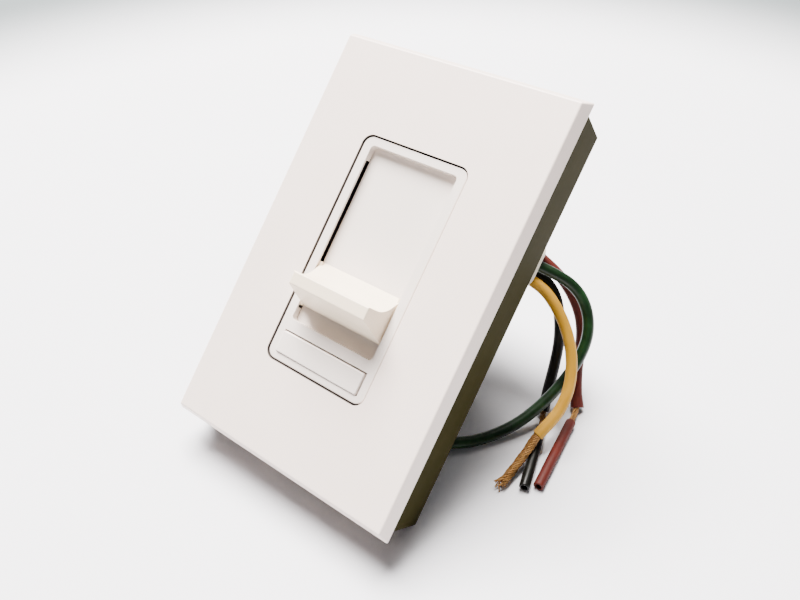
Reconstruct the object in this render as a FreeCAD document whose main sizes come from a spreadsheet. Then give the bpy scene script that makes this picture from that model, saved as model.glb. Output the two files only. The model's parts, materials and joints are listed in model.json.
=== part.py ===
import FreeCAD, Part
import math
import os
import re

import Sketcher
from FreeCAD import Placement, Rotation, Vector

# Slide dimmer for a wall box, in millimetres.
# +Z runs up the wall, +X to the right of someone who faces it and +Y into the wall.
# The origin is the centre of the two box screws, on the wall surface.

# alias, value, what it sizes
DIMENSIONS = [
    ("face_depth", 21.2, "wall surface to the front of the cover plate"),
    ("plate_width", 74.6, "cover plate at its back edge"),
    ("plate_height", 119.0, "cover plate at its back edge"),
    ("bevel_run", 1.8, "how far the bevel comes in at the face"),
    ("bevel_back", 3.4, "depth of the bevelled edge"),
    ("plate_skin", 1.9, "thickness of the cover plate's face"),
    ("plate_wall", 1.9, "cover plate's back edge to its hollow"),
    ("opening_width", 33.3, "decorator opening"),
    ("opening_height", 66.8, "decorator opening"),
    ("opening_round", 3.0, "corner radius of the opening"),
    ("bezel_gap", 0.35, "gap between the opening and the bezel"),
    ("bezel_set", 0.4, "how far the bezel lies below the face"),
    ("recess_half", 13.7, "half width of the recess"),
    ("recess_top", 30.8, "top of the recess above the centre"),
    ("recess_base", 21.3, "foot of the recess below the centre"),
    ("recess_deep", 2.4, "recess floor behind the bezel's face"),
    ("rail_inner", 15.65, "inside of the bezel's side rail"),
    ("rim_thick", 0.7, "rim in front of the side slot"),
    ("slot_top", 26.5, "upper end of the side slots"),
    ("slot_base", 17.8, "lower end of the side slots, below the centre"),
    ("pocket_half", 14.05, "half width of the button pocket"),
    ("pocket_top", 24.4, "top of the button pocket, below the centre"),
    ("pocket_base", 31.0, "foot of the button pocket, below the centre"),
    ("panel_thick", 1.2, "recess floor panel"),
    ("lip_reach", 10.3, "slide lip in front of the plate's face"),
    ("lip_top", 8.5, "top of the slide's lip below the centre"),
    ("lip_base", 12.0, "foot of the slide's lip below the centre"),
    ("root_top", 3.7, "top of the slide at the recess floor"),
    ("root_base", 16.8, "foot of the slide at the recess floor"),
    ("root_half", 13.4, "half width of the slide at the recess floor"),
    ("lip_half", 12.2, "half width of the slide's lip"),
    ("slide_gap", 0.2, "slide to recess floor"),
    ("leg_inner", 13.95, "inside of the slide's legs"),
    ("leg_outer", 15.05, "outside of the slide's legs"),
    ("button_proud", 0.5, "push button in front of the bezel"),
    ("button_deep", 3.0, "push button from front to back"),
    ("sink_half_width", 36.2, "heat sink"),
    ("sink_half_height", 57.2, "heat sink"),
    ("sink_front", 14.4, "heat sink's front to the wall surface"),
    ("sink_wall", 2.6, "heat sink's web and flanges"),
    ("window_half", 12.0, "half width of the window in the web"),
    ("window_top", 31.9, "top of the window in the web"),
    ("window_base", 31.2, "foot of the window in the web, below the centre"),
    ("box_screw_offset", 41.65, "box screw above and below the centre"),
    ("box_screw_hole", 2.2, "radius of the box screw holes"),
    ("ear_half", 13.0, "half width of a mounting ear"),
    ("ear_sheet", 1.6, "mounting ear steel"),
    ("house_half_width", 24.5, "back housing"),
    ("house_half_height", 33.4, "back housing"),
    ("house_back", 28.2, "wall surface to the back of the housing"),
    ("house_chamfer", 7.0, "upper and lower rear edges of the housing"),
    ("house_wall", 2.0, "housing wall"),
    ("board_front", 2.6, "circuit board's front to the wall surface"),
    ("board_thick", 1.6, "circuit board"),
    ("adapter_screw_x", 24.0, "adapter screws from the centre line"),
    ("adapter_screw_z", 46.0, "adapter screws above and below the centre"),
    ("ear_rivet_x", 8.0, "ear rivets from the centre line"),
    ("ear_rivet_z", 51.5, "ear rivets above and below the centre"),
    ("triac_rivet_x", 17.3, "triac rivet from the centre line"),
    ("triac_rivet_z", 20.6, "triac rivet above the centre"),
    ("house_screw_x", 19.4, "housing screws from the centre line"),
    ("house_screw_z", 28.4, "housing screws above and below the centre"),
    ("lead_diameter", 3.4, "insulated lead"),
    ("core_diameter", 2.4, "bare stranded copper"),
    ("slug_diameter", 3.0, "insulation left on a stripped end"),
]
VALUE = {alias: value for alias, value, _ in DIMENSIONS}

# Places of the bezel's heat-staked posts.
POSTS = [("-12.6", "-32.1"), ("12.6", "-32.1"), ("-13.6", "32.45"), ("13.6", "32.45")]

BOOT_MOUTH = Vector(29.56, 22.5, 21.5)
BOOT_TURN = 25.5

# Centre lines of the leads, from the boot outwards.
ROUTES = {
    "green_lead": [(28.0, 20.0, 22.1), (34.3, 22.9, 22.1), (40.9, 27.4, 21.4), (46.1, 31.0, 17.4),
                   (49.5, 33.3, 10.8), (50.2, 34.1, 3.2), (49.0, 33.3, -5.5), (46.8, 31.1, -14.2),
                   (43.4, 27.4, -22.9), (38.2, 22.9, -30.3), (32.3, 18.3, -35.4), (25.9, 14.2, -38.5)],
    "yellow_lead": [(28.1, 19.8, 17.5), (33.4, 22.3, 17.0), (39.3, 24.3, 13.4), (45.0, 25.6, 8.2),
                    (49.6, 26.3, 1.6), (52.5, 26.3, -6.0), (53.2, 25.6, -13.1), (52.0, 24.6, -18.8),
                    (50.7, 23.6, -23.0)],
    "black_lead": [(26.3, 23.6, 20.6), (31.6, 26.1, 20.0), (36.5, 28.7, 17.0), (40.1, 31.4, 11.0),
                   (42.5, 33.8, 4.4), (44.0, 35.4, -3.5), (45.4, 35.7, -11.5), (46.8, 35.3, -16.9)],
    "red_lead": [(26.5, 23.2, 25.6), (33.9, 26.9, 23.5), (39.9, 32.3, 19.6), (44.5, 36.9, 14.3),
                 (47.3, 39.5, 7.8), (49.4, 40.0, -0.2), (51.6, 40.8, -6.0), (54.1, 41.2, -11.0)],
    "green_strands": [(25.9, 14.2, -38.5), (22.6, 12.0, -40.4), (19.0, 10.6, -41.6)],
    "yellow_strands": [(50.7, 23.6, -23.0), (50.2, 21.3, -28.6), (49.8, 17.7, -34.8), (48.8, 13.8, -40.2)],
    "black_core": [(46.8, 35.3, -16.9), (47.9, 33.8, -19.1), (49.2, 31.5, -21.2)],
    "red_core": [(54.1, 41.2, -11.0), (54.9, 39.6, -13.2), (55.4, 36.7, -16.1)],
    "black_slug": [(49.2, 31.5, -21.2), (54.9, 16.6, -37.0)],
    "red_slug": [(55.4, 36.7, -16.1), (57.9, 18.7, -35.2)],
}

doc = FreeCAD.newDocument("slide_dimmer")
sheet = doc.addObject("Spreadsheet::Sheet", "Sizes")
for row, (alias, value, note) in enumerate(DIMENSIONS, start=1):
    sheet.set(f"A{row}", alias)
    sheet.set(f"B{row}", str(value))
    sheet.set(f"C{row}", note)
    sheet.setAlias(f"B{row}", alias)
doc.recompute()

nodes = []


def linked(formula):
    """Turn aliases in a formula into references to the sheet."""
    return re.sub(r"[a-z]+_[a-z_]+", lambda word: "Sizes." + word.group(), str(formula))


def bind(item, **formulas):
    """Bind properties to formulas; a double underscore stands for a dot."""
    for name, formula in formulas.items():
        item.setExpression(name.replace("__", "."), linked(formula))


def node(item, label):
    """Give a sub-part its name and list it for export."""
    item.Label = label
    nodes.append(item)
    return item


# ---- Part primitives -------------------------------------------------------------------------

def block(name, x, y, z, width, depth, height):
    """Box from its low corner."""
    item = doc.addObject("Part::Box", name)
    bind(item, Placement__Base__x=x, Placement__Base__y=y, Placement__Base__z=z,
         Length=width, Width=depth, Height=height)
    return item


AXIS_TURN = {
    "x": Rotation(Vector(0, 1, 0), 90),
    "y": Rotation(Vector(1, 0, 0), -90),
    "z": Rotation(),
}


def rod(name, axis, x, y, z, radius, length):
    """Cylinder that starts at a point and runs along an axis."""
    item = doc.addObject("Part::Cylinder", name)
    item.Placement = Placement(Vector(), AXIS_TURN[axis])
    bind(item, Placement__Base__x=x, Placement__Base__y=y, Placement__Base__z=z,
         Radius=radius, Height=length)
    return item


def taper(name, x, y, z, front_radius, back_radius, length):
    """Cone along +Y, for countersunk heads."""
    item = doc.addObject("Part::Cone", name)
    item.Placement = Placement(Vector(), AXIS_TURN["y"])
    bind(item, Placement__Base__x=x, Placement__Base__y=y, Placement__Base__z=z,
         Radius1=front_radius, Radius2=back_radius, Height=length)
    return item


def joined(name, parts):
    """One solid made of several."""
    item = doc.addObject("Part::MultiFuse", name)
    item.Shapes = parts
    item.Refine = True
    return item


def cut(name, base, tools):
    """A base with everything in tools taken out of it."""
    item = doc.addObject("Part::Cut", name)
    item.Base = base
    item.Tool = tools[0] if len(tools) == 1 else joined(name + "_tools", tools)
    item.Refine = True
    return item


def group(name, parts):
    """Identical fasteners, kept as separate solids."""
    item = doc.addObject("Part::Compound", name)
    item.Links = parts
    return item


def corners(x, z):
    """The four mirrored places of a fastener."""
    return [(f"{sx}*{x}", f"{sz}*{z}") for sx in (-1, 1) for sz in (-1, 1)]


# ---- Part Design helpers ---------------------------------------------------------------------

def body_named(name):
    """A Part Design body."""
    return doc.addObject("PartDesign::Body", name)


def sketch_on(body, name, role, offset="0"):
    """Sketch on an origin plane of its own body, moved along the plane's normal."""
    sketch = body.newObject("Sketcher::SketchObject", name)
    plane = next(item for item in body.Origin.OriginFeatures if item.Role == role)
    sketch.AttachmentSupport = [(plane, "")]
    sketch.MapMode = "FlatFace"
    bind(sketch, AttachmentOffset__Base__z=offset)
    return sketch


def constrain(sketch, label, formula, *constraint):
    """Add a named driving constraint and bind it to the sheet."""
    index = sketch.addConstraint(Sketcher.Constraint(*constraint))
    sketch.renameConstraint(index, label)
    sketch.setExpression("Constraints." + label, linked(formula))


def outline(sketch, points, tag="p"):
    """Closed outline whose corners are driven by pairs of formulas."""
    first = sketch.GeometryCount
    count = len(points)
    ring = [Vector(math.cos(2 * math.pi * i / count), math.sin(2 * math.pi * i / count), 0) * 20
            for i in range(count)]
    for i in range(count):
        sketch.addGeometry(Part.LineSegment(ring[i], ring[(i + 1) % count]), False)
    for i in range(count):
        follow = first + (i + 1) % count
        sketch.addConstraint(Sketcher.Constraint("Coincident", first + i, 2, follow, 1))
    for i, (across, along) in enumerate(points):
        constrain(sketch, f"{tag}{i}_x", across, "DistanceX", -1, 1, first + i, 1, ring[i].x)
        constrain(sketch, f"{tag}{i}_y", along, "DistanceY", -1, 1, first + i, 1, ring[i].y)


def rectangle(sketch, left, right, low, high, tag="p"):
    """Rectangle between four formulas."""
    outline(sketch, [(left, low), (right, low), (right, high), (left, high)], tag)


def circle(sketch, across, along, radius, tag):
    """Circle with its centre and radius driven by formulas."""
    index = sketch.addGeometry(Part.Circle(Vector(1, 1, 0), Vector(0, 0, 1), 1), False)
    constrain(sketch, f"{tag}_x", across, "DistanceX", -1, 1, index, 3, 1)
    constrain(sketch, f"{tag}_y", along, "DistanceY", -1, 1, index, 3, 1)
    constrain(sketch, f"{tag}_r", radius, "Radius", index, 1)


def pad(body, name, sketch, length, reverse=False, both_ways=False):
    """Pad a sketch."""
    item = body.newObject("PartDesign::Pad", name)
    item.Profile = sketch
    item.Reversed = reverse
    item.Midplane = both_ways
    bind(item, Length=length)
    return item


def pocket(body, name, sketch, length, reverse=False, both_ways=False):
    """Pocket a sketch and make sure that it took something away."""
    doc.recompute()
    before = body.Shape.Volume
    item = body.newObject("PartDesign::Pocket", name)
    item.Profile = sketch
    item.Reversed = reverse
    item.Midplane = both_ways
    bind(item, Length=length)
    doc.recompute()
    if body.Shape.Volume > before - 0.01:
        raise ValueError(f"{name} removed nothing")
    return item


def fillet(body, name, radius, wanted):
    """Round the edges of the body's tip that a test picks."""
    doc.recompute()
    tip = body.Tip
    edges = [f"Edge{i}" for i, edge in enumerate(tip.Shape.Edges, start=1) if wanted(edge)]
    if not edges:
        raise ValueError(f"{name} found no edges")
    item = body.newObject("PartDesign::Fillet", name)
    item.Base = (tip, edges)
    item.Radius = radius
    doc.recompute()
    if {"Invalid", "Error", "Touched"} & set(item.State):
        raise ValueError(f"{name} failed")
    return item


def edge_middle(edge):
    """Middle point of an edge."""
    return edge.valueAt((edge.FirstParameter + edge.LastParameter) / 2)


def runs_along(edge, axis):
    """Whether an edge is straight and parallel to an axis."""
    span = edge.valueAt(edge.LastParameter) - edge.valueAt(edge.FirstParameter)
    return edge.Length > 1e-6 and abs(abs(span.dot(axis)) / edge.Length - 1) < 1e-6


FRONT = Vector(0, 1, 0)


# ---- Cover plate and its adapter -------------------------------------------------------------

def make_faceplate():
    """Bevelled cover: a tapered pad, hollow behind, with an opening."""
    body = body_named("FaceplateBody")
    edge = sketch_on(body, "EdgeOutline", "XZ_Plane", "face_depth-bevel_back")
    rectangle(edge, "-plate_width/2", "plate_width/2", "-plate_height/2", "plate_height/2")
    blank = pad(body, "BevelledBlank", edge, "bevel_back")
    bind(blank, TaperAngle="-atan(bevel_run/bevel_back)")
    face_y = -VALUE["face_depth"]
    fillet(body, "FaceAndMitreRounds", 0.6, lambda e: edge_middle(e).y < face_y + VALUE["bevel_back"] - 0.1)
    hollow = sketch_on(body, "HollowOutline", "XZ_Plane", "face_depth-plate_skin")
    rectangle(hollow, "-(plate_width/2-plate_wall)", "plate_width/2-plate_wall",
              "-(plate_height/2-plate_wall)", "plate_height/2-plate_wall")
    pocket(body, "Hollow", hollow, "bevel_back")
    opening = sketch_on(body, "OpeningOutline", "XZ_Plane", "face_depth+1")
    rectangle(opening, "-opening_width/2", "opening_width/2", "-opening_height/2", "opening_height/2")
    pocket(body, "Opening", opening, "bevel_back+2")
    inside = VALUE["opening_width"] / 2 + 0.01
    fillet(body, "OpeningRounds", VALUE["opening_round"],
           lambda e: runs_along(e, FRONT) and abs(edge_middle(e).x) < inside)
    return node(body, "faceplate")


def make_adapter():
    """Tray behind the cover: rim walls on a base that carries four screw heads."""
    rim_half_x = "plate_width/2-plate_wall-0.3"
    rim_half_z = "plate_height/2-plate_wall-0.3"
    rim_y = "-(face_depth-plate_skin-0.1)"
    rim_deep = "face_depth-plate_skin-0.1-sink_front"
    tray = block("TrayBlock", f"-({rim_half_x})", rim_y, f"-({rim_half_z})",
                 f"2*({rim_half_x})", rim_deep, f"2*({rim_half_z})")
    hollow = block("TrayHollow", f"-({rim_half_x}-1.5)", "-face_depth", f"-({rim_half_z}-1.5)",
                   f"2*({rim_half_x}-1.5)", "face_depth-sink_front-1.8", f"2*({rim_half_z}-1.5)")
    opening = block("TrayOpening", "-17.2", "-face_depth", "-34", "34.4", "face_depth", "68")
    tools = [hollow, opening]
    for i, (x, z) in enumerate(corners("adapter_screw_x", "adapter_screw_z")):
        tools.append(rod(f"TrayHole{i}", "y", x, "-(sink_front+4)", z, "1.9", "6"))
    for i, (x, z) in enumerate(corners("ear_rivet_x", "ear_rivet_z")):
        tools.append(rod(f"TrayRivetHole{i}", "y", x, "-(sink_front+4)", z, "3.3", "6"))
    return node(cut("AdapterTray", tray, tools), "faceplate_adapter")


def make_adapter_screws():
    """Pan head screws that hold the adapter tray to the heat sink's web."""
    screws = []
    for i, (x, z) in enumerate(corners("adapter_screw_x", "adapter_screw_z")):
        head = rod(f"AdapterHead{i}", "y", x, "-(sink_front+1.8+1.3)", z, "3.2", "1.3")
        slot = block(f"AdapterSlot{i}", f"{x}-3.5", "-(sink_front+1.8+1.4)", f"{z}-0.4", "7", "0.8", "0.8")
        shank = rod(f"AdapterShank{i}", "y", x, "-(sink_front+1.8)", z, "1.7", "5.4")
        screws.append(joined(f"AdapterScrew{i}", [cut(f"AdapterHeadCut{i}", head, [slot]), shank]))
    return node(group("AdapterScrews", screws), "adapter_screws")


# ---- Bezel, recess floor and what shows in its slots ------------------------------------------

def make_bezel():
    """Insert with a recess, side slots, room behind the floor panel and a button pocket."""
    body = body_named("BezelBody")
    half_width = "opening_width/2-bezel_gap"
    half_height = "opening_height/2-bezel_gap"
    front = "face_depth-bezel_set"
    outer = sketch_on(body, "BezelOutline", "XZ_Plane", front)
    rectangle(outer, f"-({half_width})", half_width, f"-({half_height})", half_height)
    pad(body, "BezelBlock", outer, f"{front}-sink_front", reverse=True)
    fillet(body, "BezelCorners", VALUE["opening_round"] - VALUE["bezel_gap"],
           lambda e: runs_along(e, FRONT))
    front_y = -(VALUE["face_depth"] - VALUE["bezel_set"])
    fillet(body, "BezelFrontRound", 0.35, lambda e: abs(e.BoundBox.YMin - front_y) < 1e-3
           and abs(e.BoundBox.YMax - front_y) < 1e-3)

    recess = sketch_on(body, "RecessOutline", "XZ_Plane", f"{front}+1")
    rectangle(recess, "-recess_half", "recess_half", "-recess_base", "recess_top")
    pocket(body, "Recess", recess, "recess_deep+1.2")
    reach = VALUE["recess_half"] + 0.01
    fillet(body, "RecessCorners", 1.2,
           lambda e: runs_along(e, FRONT) and abs(edge_middle(e).x) < reach)

    room = sketch_on(body, "RearRoomOutline", "XZ_Plane", f"{front}-recess_deep")
    rectangle(room, "-rail_inner", "rail_inner", "-(recess_base+1.6)", "recess_top+1.1")
    pocket(body, "RearRoom", room, "8")

    slots = sketch_on(body, "SideSlotOutline", "XZ_Plane", f"{front}-rim_thick")
    rectangle(slots, "-rail_inner", "-(recess_half-1)", "-slot_base", "slot_top", "left")
    rectangle(slots, "recess_half-1", "rail_inner", "-slot_base", "slot_top", "right")
    pocket(body, "SideSlots", slots, "recess_deep")

    button = sketch_on(body, "ButtonPocketOutline", "XZ_Plane", f"{front}+1")
    rectangle(button, "-pocket_half", "pocket_half", "-pocket_base", "-pocket_top")
    pocket(body, "ButtonPocket", button, "10")

    posts = sketch_on(body, "PostOutline", "XZ_Plane", "sink_front+0.1")
    for i, (x, z) in enumerate(POSTS):
        circle(posts, x, z, "0.55", f"post{i}")
    pad(body, "HeatStakePosts", posts, "sink_wall+0.5", reverse=True)
    return node(body, "bezel")


def make_track_panel():
    """Recess floor, tucked behind the upper and lower rims."""
    body = body_named("TrackPanelBody")
    floor = sketch_on(body, "PanelOutline", "XZ_Plane", "face_depth-bezel_set-recess_deep")
    rectangle(floor, "-(recess_half-0.1)", "recess_half-0.1", "-(recess_base+1.4)", "recess_top+0.9")
    pad(body, "PanelSheet", floor, "panel_thick", reverse=True)
    return node(body, "track_panel")


def make_dust_shield():
    """Black liner outside the slide's legs, so that no light shows in the slots."""
    front = "-(face_depth-bezel_set-rim_thick)"
    deep = "face_depth-bezel_set-rim_thick-sink_front"
    floor_back = "face_depth-bezel_set-recess_deep-panel_thick"
    height = "slot_top+slot_base"
    left = block("ShieldLeft", "-rail_inner", front, "-slot_base", "0.35", deep, height)
    right = block("ShieldRight", "rail_inner-0.35", front, "-slot_base", "0.35", deep, height)
    top = block("ShieldTop", "-rail_inner", f"-({floor_back}-0.1)", "slot_top", "2*rail_inner",
                f"{floor_back}-0.1-sink_front", "1.0")
    base = block("ShieldBase", "-rail_inner", f"-({floor_back}-0.1)", "-(slot_base+1.0)", "2*rail_inner",
                 f"{floor_back}-0.1-sink_front", "1.0")
    return node(joined("DustShield", [left, right, top, base]), "dust_shield")


# ---- Slide ------------------------------------------------------------------------------------

def make_slide_paddle():
    """Scooped slide: a side profile padded across, with drafted sides and a leg at each end."""
    body = body_named("SlideBody")
    floor_y = "-(face_depth-bezel_set-recess_deep+slide_gap)"
    lip_y = "-(face_depth+lip_reach)"
    profile = sketch_on(body, "SlideProfile", "YZ_Plane")
    outline(profile, [(lip_y, "-lip_base"), (floor_y, "-root_base"), (floor_y, "-root_top"),
                      ("-(face_depth+3.1)", "-(lip_top+0.3)"), (lip_y, "-lip_top")])
    pad(body, "SlideBlank", profile, "2*root_half", both_ways=True)

    sides = sketch_on(body, "SideDraft", "XY_Plane")
    for tag, way in (("left", "-1"), ("right", "1")):
        outline(sides, [(f"{way}*root_half", floor_y), (f"{way}*(root_half+3)", floor_y),
                        (f"{way}*(root_half+3)", f"{lip_y}-1"), (f"{way}*lip_half", f"{lip_y}-0.01")], tag)
    pocket(body, "DraftedSides", sides, "60", both_ways=True)

    scoop_z = -(VALUE["lip_top"] + 0.3)
    fillet(body, "Scoop", 8.0, lambda e: runs_along(e, Vector(1, 0, 0))
           and abs(edge_middle(e).z - scoop_z) < 0.05)
    lip_front = -(VALUE["face_depth"] + VALUE["lip_reach"])
    fillet(body, "LipRounds", 0.4, lambda e: abs(edge_middle(e).y - lip_front) < 0.02)

    legs = sketch_on(body, "LegOutline", "XY_Plane", "-root_base")
    bridge_y = "-(face_depth-bezel_set-rim_thick-slide_gap)"
    leg_end = "-(sink_front+0.4)"
    for tag, way in (("left", "-1"), ("right", "1")):
        outline(legs, [(f"{way}*(root_half-0.6)", bridge_y), (f"{way}*leg_outer", bridge_y),
                       (f"{way}*leg_outer", leg_end), (f"{way}*leg_inner", leg_end),
                       (f"{way}*leg_inner", floor_y), (f"{way}*(root_half-0.6)", floor_y)], tag)
    pad(body, "Legs", legs, "root_base-root_top")
    return node(body, "slide_paddle")


def make_slide_carriage():
    """Black bar between the legs, behind the floor panel, with a fork for the fader lever."""
    floor_back = "face_depth-bezel_set-recess_deep-panel_thick"
    bar = block("CarriageBar", "-(leg_inner-0.1)", f"-({floor_back}-0.25)", "-root_base",
                "2*(leg_inner-0.1)", f"{floor_back}-0.25-sink_front-0.5", "root_base-root_top")
    fork = block("CarriageFork", "-0.75", "-(sink_front+3)", "-(root_base+root_top)/2-2.1", "1.5", "5", "4.2")
    lightening = [block(f"CarriageGap{i}", f"{x}-3.5", "-(sink_front+3)", "-(root_base+root_top)/2-4", "7",
                        "5", "8") for i, x in enumerate(("-8", "8"))]
    return node(cut("SlideCarriage", bar, [fork] + lightening), "slide_carriage")


# ---- Fader ------------------------------------------------------------------------------------

FADER_LOW = -18.2
FADER_LONG = 45.0
FADER_FRONT = -14.0
FADER_DEEP = 6.4


def make_fader():
    """Slide potentiometer: folded steel frame, resistive board, and a wiper with its lever."""
    shell = block("FaderShell", "-4.5", FADER_FRONT, FADER_LOW, "9", FADER_DEEP, FADER_LONG)
    hollow = block("FaderHollow", "-3.9", FADER_FRONT + 0.6, FADER_LOW + 0.6, "7.8", FADER_DEEP,
                   FADER_LONG - 1.2)
    slit = block("FaderSlit", "-0.9", FADER_FRONT - 1, FADER_LOW + 4, "1.8", "2", FADER_LONG - 8)
    frame = node(cut("FaderFrame", shell, [hollow, slit]), "fader_frame")
    plate = block("FaderPlate", "-4.5", FADER_FRONT + FADER_DEEP, FADER_LOW, "9", "1.2", FADER_LONG)
    pins = [rod(f"FaderPin{i}", "y", x, FADER_FRONT + FADER_DEEP + 0.6, z, "0.5",
                f"{-(FADER_FRONT + FADER_DEEP + 0.6)}-board_front-0.05")
            for i, (x, z) in enumerate(((-2, -16), (2, -16), (0, 24)))]
    board = node(joined("FaderBoard", [plate] + pins), "fader_board")
    middle = "-(root_base+root_top)/2"
    carrier = block("WiperCarrier", "-3.4", FADER_FRONT + 1.1, f"{middle}-3.5", "6.8", "3.6", "7")
    lever = block("WiperLever", "-0.6", "-(sink_front+1.9)", f"{middle}-2", "1.2", "4", "4")
    fingers = [block(f"WiperFinger{i}", x, FADER_FRONT + 4.4, f"{middle}-2.5", "1.0", "1.6", "5")
               for i, x in enumerate(("-2.6", "1.6"))]
    wiper = node(joined("FaderWiper", [carrier, lever] + fingers), "fader_wiper")
    return frame, board, wiper


# ---- Push button and its switch ---------------------------------------------------------------

BUTTON_Z = -27.7


def make_push_button():
    """Bar with softened edges that stands a little proud of the bezel."""
    body = body_named("ButtonBody")
    front = "face_depth-bezel_set+button_proud"
    face = sketch_on(body, "ButtonOutline", "XZ_Plane", front)
    rectangle(face, "-(pocket_half-0.12)", "pocket_half-0.45", "-(pocket_base-0.12)", "-(pocket_top+0.45)")
    pad(body, "ButtonBar", face, "button_deep", reverse=True)
    front_y = -(VALUE["face_depth"] - VALUE["bezel_set"] + VALUE["button_proud"])
    fillet(body, "ButtonCorners", 0.6, lambda e: runs_along(e, FRONT))
    fillet(body, "ButtonFrontRound", 0.35, lambda e: abs(e.BoundBox.YMin - front_y) < 1e-3
           and abs(e.BoundBox.YMax - front_y) < 1e-3)
    return node(body, "push_button")


def make_switch():
    """Tap switch behind the button: plunger, return spring and body with four legs."""
    button_back = "face_depth-bezel_set+button_proud-button_deep"
    stem = rod("PlungerStem", "y", "0", f"-({button_back})", BUTTON_Z, "1.6", f"{button_back}-13.2")
    plunger = node(joined("SwitchPlunger", [stem, rod("PlungerFoot", "y", "0", "-13.2", BUTTON_Z, "0.7", "1.4")]),
                   "switch_plunger")
    case = block("SwitchCase", "-6", "-15.0", f"{BUTTON_Z}-3.1", "12", "7", "6.2")
    bore = rod("SwitchBore", "y", "0", "-15.5", BUTTON_Z, "1.7", "6.5")
    legs = [rod(f"SwitchLeg{i}", "y", x, "-8.5", f"{BUTTON_Z}+{z}", "0.5", "8.5-board_front-0.05")
            for i, (x, z) in enumerate(((-4, -2), (4, -2), (-4, 2), (4, 2)))]
    case_node = node(joined("SwitchBody", [cut("SwitchCaseBored", case, [bore])] + legs), "switch_body")
    return plunger, case_node


def make_switch_dome():
    """Rubber dome on the floor of the switch, at the height that it is pressed down to."""
    outer = doc.addObject("Part::Sphere", "DomeOuter")
    inner = doc.addObject("Part::Sphere", "DomeInner")
    for ball, radius in ((outer, 1.5), (inner, 1.15)):
        ball.Placement = Placement(Vector(0, -9.0, BUTTON_Z), Rotation(Vector(1, 0, 0), 90))
        ball.Radius = radius
        ball.Angle1 = 0
    return node(cut("SwitchDome", outer, [inner]), "switch_dome")


# ---- Heat sink, ears and housing --------------------------------------------------------------

def make_heat_sink():
    """Extruded channel with inner fins, a window and screw holes in its web."""
    body = body_named("HeatSinkBody")
    profile = sketch_on(body, "ChannelProfile", "XY_Plane")
    web_back = "-(sink_front-sink_wall)"
    half = [("sink_half_width", "-sink_front"), ("sink_half_width", "0"),
            ("sink_half_width-sink_wall", "0"), ("sink_half_width-sink_wall", web_back),
            ("31", web_back), ("31", "-3.2"), ("29.4", "-3.2"), ("29.4", web_back)]
    mirrored = [(f"-({across})", along) for across, along in reversed(half)]
    outline(profile, half + mirrored)
    pad(body, "Channel", profile, "2*sink_half_height", both_ways=True)
    fillet(body, "ChannelCorners", 0.5, lambda e: runs_along(e, Vector(0, 0, 1))
           and abs(edge_middle(e).y + VALUE["sink_front"]) < 0.01)

    window = sketch_on(body, "WindowOutline", "XZ_Plane", "sink_front+1")
    rectangle(window, "-window_half", "window_half", "-window_base", "window_top")
    pocket(body, "Window", window, "sink_wall+2")

    holes = sketch_on(body, "HoleOutline", "XZ_Plane", "sink_front+1")
    for i, (x, z) in enumerate(corners("adapter_screw_x", "adapter_screw_z")):
        circle(holes, x, z, "1.75", f"adapter{i}")
    for i, (x, z) in enumerate(corners("ear_rivet_x", "ear_rivet_z")):
        circle(holes, x, z, "1.65", f"rivet{i}")
    for i, (x, z) in enumerate(POSTS):
        circle(holes, x, z, "0.65", f"post{i}")
    for i, z in enumerate(("-box_screw_offset", "box_screw_offset")):
        circle(holes, "0", z, "4.6", f"access{i}")
    pocket(body, "WebHoles", holes, "sink_wall+2")

    sunk = sketch_on(body, "SunkHoleOutline", "XZ_Plane", "sink_front")
    for i, (x, z) in enumerate(corners("house_screw_x", "house_screw_z")):
        circle(sunk, x, z, "1", f"house{i}")
    circle(sunk, "triac_rivet_x", "triac_rivet_z", "1", "triac")
    doc.recompute()
    countersunk = body.newObject("PartDesign::Hole", "CountersunkHoles")
    countersunk.Profile = sunk
    countersunk.ThreadType = "None"
    countersunk.Diameter = 3.3
    countersunk.HoleCutType = "Countersink"
    countersunk.HoleCutDiameter = 6.2
    countersunk.HoleCutCountersinkAngle = 90
    countersunk.DepthType = "ThroughAll"
    doc.recompute()
    return node(body, "heat_sink")


def make_ear(name, way):
    """Steel ear: foot riveted to the web, leg down to the wall and a drilled pad for a box screw."""
    body = body_named(name.title().replace("_", "") + "Body")
    profile = sketch_on(body, name + "_profile", "YZ_Plane")
    foot_y = "-(sink_front-sink_wall)"
    points = [("0", "36.4"), ("-ear_sheet", "36.4"), ("-ear_sheet", "45.6"), (foot_y, "45.6"),
              (foot_y, "55.4"), (f"{foot_y}+ear_sheet", "55.4"), (f"{foot_y}+ear_sheet", "47.2"), ("0", "47.2")]
    outline(profile, [(along, f"{way}*{up}") for along, up in points])
    pad(body, name + "_strap", profile, "2*ear_half", both_ways=True)
    fillet(body, name + "_bends", 0.8, lambda e: runs_along(e, Vector(1, 0, 0))
           and abs(abs(edge_middle(e).z) - 45.6) < 0.01 and edge_middle(e).y > -2)
    fillet(body, name + "_corners", 2.5, lambda e: runs_along(e, FRONT)
           and abs(edge_middle(e).x) > 12.9 and abs(abs(edge_middle(e).z) - 45.9) > 9)
    screw = sketch_on(body, name + "_hole", "XZ_Plane", "-1")
    circle(screw, "0", f"{way}*box_screw_offset", "box_screw_hole", "screw")
    pocket(body, name + "_screw_hole", screw, "4", reverse=True)
    rivets = sketch_on(body, name + "_rivet_holes", "XZ_Plane", "sink_front")
    for i, x in enumerate(("-ear_rivet_x", "ear_rivet_x")):
        circle(rivets, x, f"{way}*ear_rivet_z", "1.65", f"rivet{i}")
    pocket(body, name + "_rivet_holes_cut", rivets, "6")
    return node(body, name)


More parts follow.
